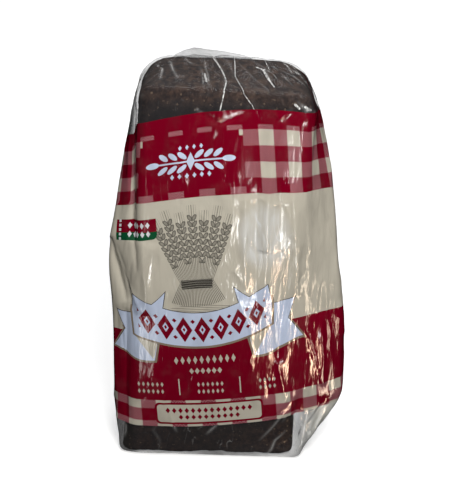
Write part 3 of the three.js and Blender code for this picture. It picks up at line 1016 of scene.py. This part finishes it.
def ribbon(sheet):
    """The ribbon: its tails, their folds and the arched middle with embroidery diamonds"""
    across, up, aside = sheet.across, sheet.up, sheet.aside
    tail_foot = 59.8 + aside.ramp(31, 55) * 7.2
    tail_head = 89.3 + (aside - 42) * (aside - 42) * 0.022
    notch = 47.5 + (((up - 79) * 0.36) | ((79 - up) * 0.7)) - (across < 0) * 2.5
    tail_root = aside - 25 - (72 - up) * 0.21
    tails = (up - tail_foot) & (tail_head - up) & (notch - aside) & tail_root
    middle_top = 87.6 + across * across * (13.3 / 37**2)
    middle_foot = 67.8 + across * across * (4 / 25**2)
    side = sheet.polygon((0, 20), (37.2, 63.2), (38.8, 90.8), (37, 101), (0, 140))
    middle = (middle_top - up) & (up - middle_foot) & side
    fold = sheet.polygon((25, 72), (28, 60.5), (38, 77))
    wide, thin = 1.3, 0.45

    period = 10
    level = abs(up - (77.6 + across * across * (8.4 / 33**2)))
    thread = abs((across + period / 2) % period - period / 2)
    ring = ((thread / 4.5 + level / 7.6) < 1) & ~((thread / 1.7 + level / 2.9) < 1)
    heart = (thread / 0.8 + level / 1.3) < 1
    knots = ((period / 2 - thread) + abs(level - 5)) < 1.3
    return [
        (TAUPE, ((tails > -wide) | (middle > -wide)) & (up < 80 + aside * 0.02)),
        (OUTLINE, (tails > -thin) | (middle > -thin)),
        (TAUPE, (tails > -wide) & (up < 70) & (tails < 0)),
        (PALE, tails > 0),
        (CREAM, (fold > 0) & (tails > 0)),
        (TAUPE, (middle > -wide) & (middle < 0) & (up < middle_top - 8)),
        (PALE, middle > 0),
        (RED, (ring | heart | knots) & (aside < 35)),
    ]


def small_ornaments(sheet):
    """Rows of cream diamonds and two rules in the red field"""
    small = sheet.diamonds(-17.5, 17.5, 59.6, 3.5, 1.15, 2.5)
    small = small | sheet.diamonds(-9.3, 9.3, 52.8, 3.1, 1.3, 1.9)
    for left, right in ((-39, -23.4), (-5.9, 9.7), (28.2, 38.6)):
        for level in (44.4, 40):
            small = small | sheet.diamonds(left, right, level, 2.6, 0.8, 1.5)
    return [(CREAM, small | sheet.box(-15.6, -14.9, 38, 48) | sheet.box(18, 18.7, 38, 48))]


def label(sheet):
    """The cream label over the lower gingham"""
    marks = sheet.diamonds(-24.5, 24.5, 28.3, 3.5, 1.3, 1.8)
    marks = marks | sheet.diamonds(-17.5, 17.5, 24.2, 3.5, 1.3, 1.6)
    return [
        (RED, sheet.rounded_box(-29.9, 30.3, 19.8, 33.1, 2.6)),
        (CREAM, sheet.rounded_box(-28.7, 29.1, 21, 31.9, 2)),
        (RED, marks),
    ]


def print_colour(tree, across, up):
    """The print's colours, one layer over another on red"""
    sheet = Sheet(across, up)
    colour = RED
    for drawn in (gingham, sprig_panel, sheaf, tag, ribbon, small_ornaments, label):
        for over, mask in drawn(sheet):
            colour = painted(tree, colour, over, mask)
    return colour


def strokes(a, b, lines):
    """Thin lines through [a, b] points, as a mask"""
    drawn = a * 0
    for half, path in lines:
        for (a0, b0), (a1, b1) in zip(path, path[1:]):
            da, db = a1 - a0, b1 - b0
            reach = da * da + db * db
            along = ((a - a0) * (da / reach) + (b - b0) * (db / reach)).made("ADD", 0, clamp=True)
            off_a = a - a0 - along * da
            off_b = b - b0 - along * db
            drawn = drawn | ~(off_a * off_a + off_b * off_b).ramp((0.4 * half) ** 2, (1.3 * half) ** 2)
    return drawn


# The film's haze with painted shade, sheen and highlights, from where it lies on the loaf to where it
# stands off, and the print's dust with painted shade and a painted highlight
CLEAR_HAZE_AND_SHEEN = rgb(82, 80, 84)
LOOSE_HAZE = rgb(136, 136, 128)
PAINTED_SHADE_BESIDE = rgb(50, 49, 48)
FAR_HAZE = rgb(222, 220, 208)
CREASE_WHITE_AND_HIGHLIGHT = rgb(244, 244, 242)
PRINT_SHADE = rgb(62, 52, 50)
PRINT_DUST = rgb(120, 112, 104)
PRINT_PAINTED_HIGHLIGHT = rgb(232, 234, 234)
FILM_IOR = 1.42
END_LOWEST = 204
FRONT_FURTHEST = -18
WRINKLES_TOP = 210


def film_material():
    """Clear film, hazy where it stands loose, with painted shade beside the loaf, painted sheen at
    grazing angles and painted highlights where it is creased, with opaque print
    """
    material, tree = new_material("printed_clear_film")
    uv = tree.nodes.new("ShaderNodeUVMap")
    uv.uv_map = "print"
    u, v, _ = xyz(tree, uv.outputs["UV"])
    across = (u - 0.5) * PRINT_SPAN
    up = v * PRINT_SPAN
    names = ("crease", "loose", "far", "beside")
    crease, loose, far, beside = [attribute(tree, name) for name in names]

    drawn_up = millimetres(tree, (1, 1, UPWARD_STRETCH))
    ridges = abs(noise(tree, drawn_up, 5, 2, 0.5, 0.8) - 0.5) * 2
    fine = abs(noise(tree, drawn_up, 1.8, 2, 0.5, 0.4) - 0.5) * 2
    mottle = noise(tree, millimetres(tree), 9, 3)
    wander = abs(noise(tree, millimetres(tree, (1, 1, 0.3)), 13, 2, 0.45, 1.2) - 0.5)
    # Thin white wrinkle lines, partly painted highlights, mostly where the film stands loose
    wrinkle = ~wander.ramp(0.0, 0.01) * mottle.ramp(0.46, 0.62) * (0.35 + loose * 0.65)
    wrinkle = wrinkle * (up < WRINKLES_TOP)
    # Greyer, more opaque film at grazing angles: partly a painted sheen, partly the longer path through
    # the film
    grazing = tree.nodes.new("ShaderNodeLayerWeight")
    grazing.inputs["Blend"].default_value = 0.25
    rim = Term(tree, grazing.outputs["Facing"]).ramp(0.3, 1)

    # The print, with broad patches of painted shade, dust and a painted whitish highlight patch
    printed = (up > PRINT_FOOT) & (up < PRINT_TOP)
    # Painted shade: broad soft darker patches over the print
    shade = noise(tree, millimetres(tree, (1, 1, 0.45)), 10, 2, 0.5, 0.6)
    print_dust_and_painted_light = painted(tree, print_colour(tree, across, up), PRINT_SHADE, shade.ramp(0.48, 0.75) * 0.16)
    print_dust_and_painted_light = painted(tree, print_dust_and_painted_light, PRINT_DUST, mottle.ramp(0.5, 0.8) * 0.08)
    # A painted highlight: a whitish crinkled patch on the print right of its middle
    from_patch = ((across - 38) / 17) ** 2 + ((up - 129) / 21) ** 2
    whitish = 0.35 + ridges.ramp(0.0, 0.4) * 0.3 + (~wander.ramp(0.0, 0.03)) * 0.35
    print_dust_and_painted_light = painted(tree, print_dust_and_painted_light, PRINT_PAINTED_HIGHLIGHT, ~from_patch.ramp(0.25, 1.1) * whitish * 0.95)

    # Sharp white crease lines, partly painted highlights, drawn in the loaf's own frame
    x, y, z = xyz(tree, millimetres(tree))
    loaf_across = x - z * LEAN - AXIS_PLACE[0]
    loaf_back = y - AXIS_PLACE[1]
    on_end = strokes(loaf_across, loaf_back, TOP_STROKES) & (z > END_LOWEST)
    on_front = strokes(loaf_across, z, FRONT_STROKES) & (loaf_back < FRONT_FURTHEST)
    sharp = (on_end | on_front) * (0.4 + fine.ramp(0.0, 0.25) * 0.6)

    # Whitened creases and wrinkles with painted highlights along them: the film is whiter and more opaque
    # there
    white_lines_and_highlights = crease | (wrinkle * 0.7) | sharp
    # A grey veil over the clear film, partly haze and partly a painted milky sheen, paler where loose and
    # at grazing angles
    haze = painted(tree, CLEAR_HAZE_AND_SHEEN, LOOSE_HAZE, loose | (rim * 0.6))
    # Painted shade: darker, more opaque film where it stands a little off the loaf, mostly on the left
    haze = painted(tree, haze, PAINTED_SHADE_BESIDE, beside * 0.95)
    # Milky film where it stands far off, with painted light and shade along its crinkles
    haze = painted(tree, haze, FAR_HAZE, far * (0.6 + ~ridges.ramp(0.12, 0.5) * 0.35))
    haze = painted(tree, haze, CREASE_WHITE_AND_HIGHLIGHT, white_lines_and_highlights)
    solid = 0.13 + loose * 0.31 + beside * 0.5 + far * 0.2 + white_lines_and_highlights * 0.5 + sharp * 0.3 + rim * 0.3

    film_shader = principled(
        tree,
        {
            "Base Color": painted(tree, haze, print_dust_and_painted_light, printed),
            "Roughness": 0.1 + fine * 0.08,
            "IOR": FILM_IOR,
            "Normal": bumped(tree, ridges * -1 + fine * -0.35 + crease * 0.8, 0.3, 0.5),
        },
    )
    through = tree.nodes.new("ShaderNodeBsdfTransparent")
    mixed = tree.nodes.new("ShaderNodeMixShader")
    connect(tree, mixed.inputs[0], printed | (solid & 0.9))
    tree.links.new(through.outputs[0], mixed.inputs[1])
    tree.links.new(film_shader, mixed.inputs[2])
    show(tree, mixed.outputs[0])
    return material


CRUST_DARK, CRUST_LIGHT = rgb(22, 18, 19), rgb(37, 32, 32)
BAKED_DARK, BAKED_LIGHT = rgb(37, 28, 26), rgb(88, 67, 55)
EDGE_BROWN = rgb(66, 52, 44)
PORE = rgb(20, 14, 12)
FLOUR = rgb(112, 94, 78)


def crust_material():
    """Dark rye crust: near black on the sides, browner on the ends and edges, floury specks"""
    material, tree = new_material("dark_rye_crust")
    place = millimetres(tree)
    edge, end = attribute(tree, "edge"), attribute(tree, "end")
    broad = noise(tree, place, 16, 4, 0.6)
    middling = noise(tree, place, 5, 4, 0.6)
    grain = noise(tree, place, 1.1, 3, 0.6)
    blotch = noise(tree, millimetres(tree, (1, 0.5, 1)), 3.4, 4, 0.65)
    specks = cells(tree, place, 3.2) < 0.2
    crumbs = cells(tree, place, 1.6) < 0.16
    colour = painted(tree, CRUST_DARK, CRUST_LIGHT, middling.ramp(0.35, 0.7))
    baked = painted(tree, BAKED_DARK, BAKED_LIGHT, blotch.ramp(0.36, 0.68))
    colour = painted(tree, colour, baked, end * (0.35 + broad.ramp(0.2, 0.6) * 0.55))
    colour = painted(tree, colour, EDGE_BROWN, edge * middling.ramp(0.35, 0.7) * 0.5)
    colour = painted(tree, colour, PORE, grain.ramp(0.55, 0.75) * 0.7)
    flour = specks & (grain > 0.5) & (middling + edge * 0.15 > 0.5)
    dust = crumbs & (middling > 0.56)
    shader = principled(
        tree,
        {
            "Base Color": painted(tree, colour, FLOUR, (flour * 0.8) | (dust * 0.55)),
            "Roughness": 0.72 + grain * 0.2,
            "Specular IOR Level": 0.25,
            "Normal": bumped(tree, middling * 0.9 + grain * 0.5 - specks * 0.2, 0.7, 0.8),
        },
    )
    show(tree, shader)
    return material


# Where the film stands off the loaf, a little or far, and where painted shade makes it dark beside the
# loaf
BESIDE_STAND = (0.8, 3.5)
LOOSE_STAND = (2.5, 9)
FAR_STAND = (7, 18)
bag = new_piece("film_bag", film_vertices, film_faces, film_material())
bag_x, _, bag_z = film_vertices.T
# Painted shade beside the loaf: below the top end, weaker to the right, and low down on the far left
beside = smoothstep(*BESIDE_STAND, stand_off) * (1 - smoothstep(198, 208, bag_z))
beside *= 1 - 0.85 * smoothstep(10, 40, bag_x)
beside = np.maximum(beside, smoothstep(38, 48, -bag_x) * (1 - smoothstep(14, 32, bag_z)))
beside[tail_start:] = 0
point_values(bag, "crease", np.append(crease_whitening_and_highlight, [0, 0]))
point_values(bag, "loose", smoothstep(*LOOSE_STAND, stand_off))
point_values(bag, "far", smoothstep(*FAR_STAND, stand_off))
point_values(bag, "beside", beside)

# Where the print lies: its whole pattern is turned a little on the bag and sags towards its sides.
# Both fade out behind, where the bag's own seam runs up the middle of the back.
PRINT_MIDDLE = 8
PRINT_TURN = 0.116
PRINT_SAG = 4
SAG_REACH = 50
PRINT_NARROWING = 0.05
PRINT_SHIFT = 17.5
PRINT_LEVEL = 155
PRINT_ASKEW = 0.055
LEFT_FOLD = (-37.6, -35.4)
LEFT_SWALLOWED = 7.5
TOP_PULL = 4
BEHIND = (80, 150)
turn_kept = smooth_through([[0, 1], [64, 1], [100, 0.72], [FILM_ROUND / 2 + PRINT_MIDDLE, 0]])
sag_kept = smooth_through([[0, 1], [72, 1], [140, 0]])


def print_places(around, height):
    """Across and up on the print, for a distance round the film and a height"""
    offset = around + PRINT_MIDDLE
    kept = sag_kept(np.abs(offset))
    sag = (offset / SAG_REACH) ** 2 * kept
    tilt = PRINT_TURN * offset * turn_kept(np.abs(offset))
    up = (height - tilt - PRINT_SAG * sag) / (1 - PRINT_NARROWING * sag)
    across = around + PRINT_TURN * (height - PRINT_LEVEL) + PRINT_SHIFT
    # The film is drawn back past the loaf's edges, more so near the top, and its foot hangs askew
    drawn = smoothstep(38, 88, across) * (3.2 + 5.8 * smoothstep(90, 150, up))
    top_pull = TOP_PULL * smoothstep(160, 192, up)
    drawn -= top_pull * (1 - smoothstep(-35, 30, across))
    # The fold down the left edge swallows most of a column of the check and drops the print beyond it
    beyond = (1 - smoothstep(*LEFT_FOLD, across)) * smoothstep(146, 156, up)
    drawn -= (LEFT_SWALLOWED - top_pull) * beyond
    askew = PRINT_ASKEW * np.clip(across, -60, 80) * kept * (1 - smoothstep(42, 78, up))
    askew += beyond * (1.5 + 4 * smoothstep(150, 195, up)) * kept
    return across + drawn, up + askew


def lay_print(piece):
    """Writes each face corner's place on the print into the film's UV layer"""
    loops = np.empty(len(piece.data.loops), np.int64)
    starts = np.empty(len(piece.data.polygons), np.int64)
    totals = np.empty(len(piece.data.polygons), np.int64)
    piece.data.loops.foreach_get("vertex_index", loops)
    piece.data.polygons.foreach_get("loop_start", starts)
    piece.data.polygons.foreach_get("loop_total", totals)
    on_ring = loops < len(flat_places)
    ring_of, column_of = np.divmod(loops, AROUND)
    ring_of = np.minimum(ring_of, BODY_COUNT - 1)

    # A face lies on the left half where its columns do, or where it closes the ring
    first = np.minimum.reduceat(np.where(on_ring, column_of, AROUND), starts)
    last = np.maximum.reduceat(np.where(on_ring, column_of, -1), starts)
    closing = last - first > 1
    left_half = np.repeat(closing | (first >= HALF_WAY), totals)
    column_of = np.where(np.repeat(closing, totals) & (column_of == 0), AROUND, column_of)
    whole = body_rounds[ring_of, -1]
    around = body_rounds[ring_of, column_of] - np.where(left_half, whole, 0)

    # The print keeps to the seam behind, whatever the bag's girth is at that height
    right_half_round = body_rounds[ring_of, HALF_WAY]
    half_round = np.where(left_half, whole - right_half_round, right_half_round)
    behind = smoothstep(*BEHIND, np.abs(around))
    around += behind * around * (FILM_ROUND / 2 / half_round - 1)

    # Past the top end's edge the height goes on as the length of film
    past_edge = np.linalg.norm(np.diff(film[BODY_COUNT - 1 :], axis=0), axis=2).mean(axis=1)
    end_heights = body[-1][:, 2].max() + np.cumsum(past_edge)
    body_heights = film_z[: BODY_COUNT * AROUND]
    heights = np.concatenate([body_heights, np.repeat(end_heights, AROUND), [0, end_heights[-1]]])
    across, up = print_places(around, heights[loops])
    places = np.column_stack([across / PRINT_SPAN + 0.5, up / PRINT_SPAN])
    piece.data.uv_layers.new(name="print").data.foreach_set("uv", places.astype(np.float32).ravel())


lay_print(bag)

FOOT_BROWNING = 0.7
loaf_piece = new_piece("rye_loaf", loaf_vertices, loaf_faces, crust_material())
point_values(loaf_piece, "edge", np.append(edge_wear, [0, 0]))
crust_x, _, crust_z = loaf_places.T
browning_and_painted_shade = np.maximum(smoothstep(198, 209, crust_z), FOOT_BROWNING * (1 - smoothstep(10, 34, crust_z)))
# Painted shade: the browning on the ends and foot fades towards the left, so the crust is darker there
browning_and_painted_shade *= 0.55 + 0.45 * smoothstep(-46, -8, crust_x)
point_values(loaf_piece, "end", np.append(browning_and_painted_shade, [FOOT_BROWNING, 1]))

# The pale floor glows a little for the camera, but neither lights the object nor shows in its gloss
FLOOR_HALF = 6
FLOOR_DROP = 0.0004
corners = [(x * FLOOR_HALF, y * FLOOR_HALF, -FLOOR_DROP) for x, y in ((-1, -1), (1, -1), (1, 1), (-1, 1))]
floor_mesh = bpy.data.meshes.new("floor")
floor_mesh.from_pydata(corners, [], [(0, 1, 2, 3)])
floor_material, floor_tree = new_material("pale_floor")
floor_looks = {
    "Base Color": (0.93, 0.93, 0.93, 1),
    "Roughness": 0.9,
    "Specular IOR Level": 0.1,
    "Emission Color": (1, 1, 1, 1),
    "Emission Strength": 0.45,
}
show(floor_tree, principled(floor_tree, floor_looks))
floor_mesh.materials.append(floor_material)
floor = bpy.data.objects.new("floor", floor_mesh)
bpy.context.scene.collection.objects.link(floor)
floor.visible_glossy = False
floor.visible_diffuse = False

# A faint sky, dark at its foot
SKY_COLOUR = (0.94, 0.97, 1, 1)
SKY_STRENGTH = 0.16
SKY_FOOT = 0.35
world = bpy.data.worlds.new("studio")
world.use_nodes = True
sky = world.node_tree
background = sky.nodes["Background"]
background.inputs["Color"].default_value = SKY_COLOUR
direction = sky.nodes.new("ShaderNodeTexCoord")
rise = xyz(sky, direction.outputs["Generated"])[2]
connect(sky, background.inputs["Strength"], rise.ramp(0.0, SKY_FOOT) * SKY_STRENGTH)
bpy.context.scene.world = world


def area_light(name, placing, size, watts, colour=(1, 1, 1), glossy=True, diffuse=True):
    """A rectangular light, sizes in metres, that the camera doesn't see"""
    light = bpy.data.lights.new(name, "AREA")
    light.shape = "RECTANGLE"
    light.size, light.size_y = size
    light.energy = watts
    light.color = colour
    lamp = bpy.data.objects.new(name, light)
    lamp.matrix_world = placing
    lamp.visible_camera = False
    lamp.visible_glossy = glossy
    lamp.visible_diffuse = diffuse
    bpy.context.scene.collection.objects.link(lamp)


def aimed(place, aim):
    """A placing in metres that faces the aim"""
    turn = (Vector(aim) - Vector(place)).to_track_quat("-Z", "Y")
    return Matrix.Translation(place) @ turn.to_matrix().to_4x4()


def glint_strip(name, start, turn, near, far, width, watts, colour):
    """A strip lying in front of the film, pointing away from it, that draws an upright streak"""
    away = Vector((math.sin(math.radians(turn)), -math.cos(math.radians(turn)), 0))
    down = Vector((0, 0, -1))
    placing = Matrix((away.cross(down), away, down)).transposed().to_4x4()
    placing.translation = Vector((*start, STRIP_HEIGHT)) + away * (near + far) / 2
    area_light(name, placing, (width, far - near), watts, colour, diffuse=False)


STRIP_HEIGHT = 0.003
NEAR_WHITE = (1, 0.98, 0.95)
area_light("overhead", aimed((0, 1, 1.5), (0, 0.3, 0)), (1.5, 1.5), 17)
area_light("key", aimed((0.07, -0.5, 0.5), (0, 0, 0.12)), (0.2, 0.2), 3.6, NEAR_WHITE, glossy=False)
glint_strip("streak_middle", (0.012, -0.045), 11, 0.22, 0.62, 0.018, 1.2, NEAR_WHITE)
glint_strip("streak_right", (0.026, -0.044), 22, 0.07, 0.32, 0.01, 0.5, (1, 0.7, 0.48))
glint_strip("streak_ear", (0.046, -0.038), 54, 0.06, 0.3, 0.02, 0.32, (1, 0.8, 0.6))
glint_strip("streak_left", (-0.045, -0.042), -24, 0.1, 0.5, 0.02, 0.2, (1, 0.97, 0.93))

# The camera: the photograph's viewing angle, focal length and roll
AZIMUTH = math.radians(-0.7)
ELEVATION = math.radians(20.7)
ROLL = math.radians(1.37)
DISTANCE = 1
AIM_HEIGHT = 0.1025
AIM_RIGHT = 0.00526
AIM_UP = 0.00347
FOCAL_PIXELS = 1787
LONG_SIDE_PIXELS = 504
SENSOR_WIDTH = 36
FAR_CLIP = 50
back_way = Vector(
    (
        math.sin(AZIMUTH) * math.cos(ELEVATION),
        -math.cos(AZIMUTH) * math.cos(ELEVATION),
        math.sin(ELEVATION),
    )
)
level_right = Vector((math.cos(AZIMUTH), math.sin(AZIMUTH), 0))
level_up = back_way.cross(level_right)
view_right = level_right * math.cos(ROLL) + level_up * math.sin(ROLL)
view_up = level_up * math.cos(ROLL) - level_right * math.sin(ROLL)
aim = Vector((AXIS_PLACE[0] * MM, AXIS_PLACE[1] * MM, AIM_HEIGHT))
aim += view_right * AIM_RIGHT + view_up * AIM_UP
camera_data = bpy.data.cameras.new("camera")
camera_data.sensor_width = SENSOR_WIDTH
camera_data.lens = SENSOR_WIDTH * FOCAL_PIXELS / LONG_SIDE_PIXELS
camera_data.clip_end = FAR_CLIP
camera = bpy.data.objects.new("camera", camera_data)
placing = Matrix((view_right, view_up, back_way)).transposed().to_4x4()
placing.translation = aim + back_way * DISTANCE
camera.matrix_world = placing
bpy.context.scene.collection.objects.link(camera)
bpy.context.scene.camera = camera
bpy.context.scene.view_settings.view_transform = "Standard"

for piece in (bag, loaf_piece):
    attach(piece, "root")
    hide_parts("bagged_loaf")
